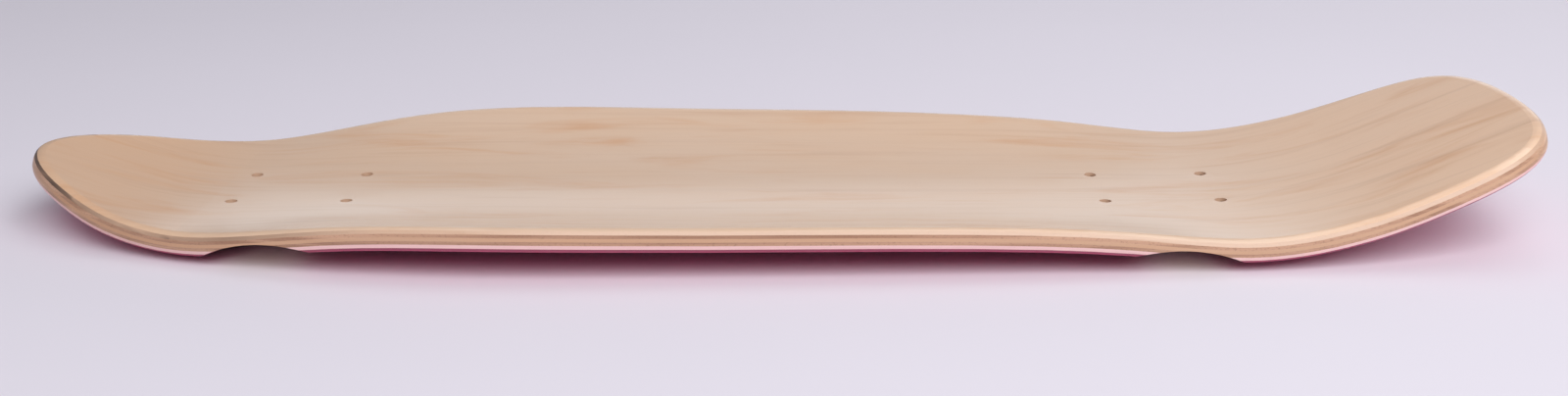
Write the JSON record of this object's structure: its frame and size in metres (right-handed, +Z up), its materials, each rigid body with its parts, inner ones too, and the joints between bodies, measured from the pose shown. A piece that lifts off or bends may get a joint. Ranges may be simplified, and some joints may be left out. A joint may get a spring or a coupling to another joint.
{
  "type": "skateboard deck",
  "caption": "Bare skateboard deck of pressed maple veneers with an upturned nose and tail, side to side concave, wheel wells and truck bolt holes.",
  "frame": {"origin": "centre of the deck's box in plan, at the height of the lowest line of its belly, where the bare deck rests", "axes": "+X along the deck from the nose to the tail, +Y across it, +Z up out of the top face"},
  "size_m": [0.7026, 0.2032, 0.0569],
  "materials": {
    "clear_maple_face": "clear satin lacquer",
    "long_grain_maple": "sanded and sealed edge",
    "cross_grain_maple": "sanded end grain",
    "dyed_maple_face": "rose dyed veneer under clear satin lacquer"
  },
  "bodies": {
    "root": {"top_face_ply": "clear_maple_face", "upper_long_ply": "long_grain_maple", "upper_cross_ply": "cross_grain_maple", "centre_long_ply": "long_grain_maple", "lower_cross_ply": "cross_grain_maple", "lower_long_ply": "long_grain_maple", "bottom_face_ply": "dyed_maple_face"}
  },
  "joints": []
}
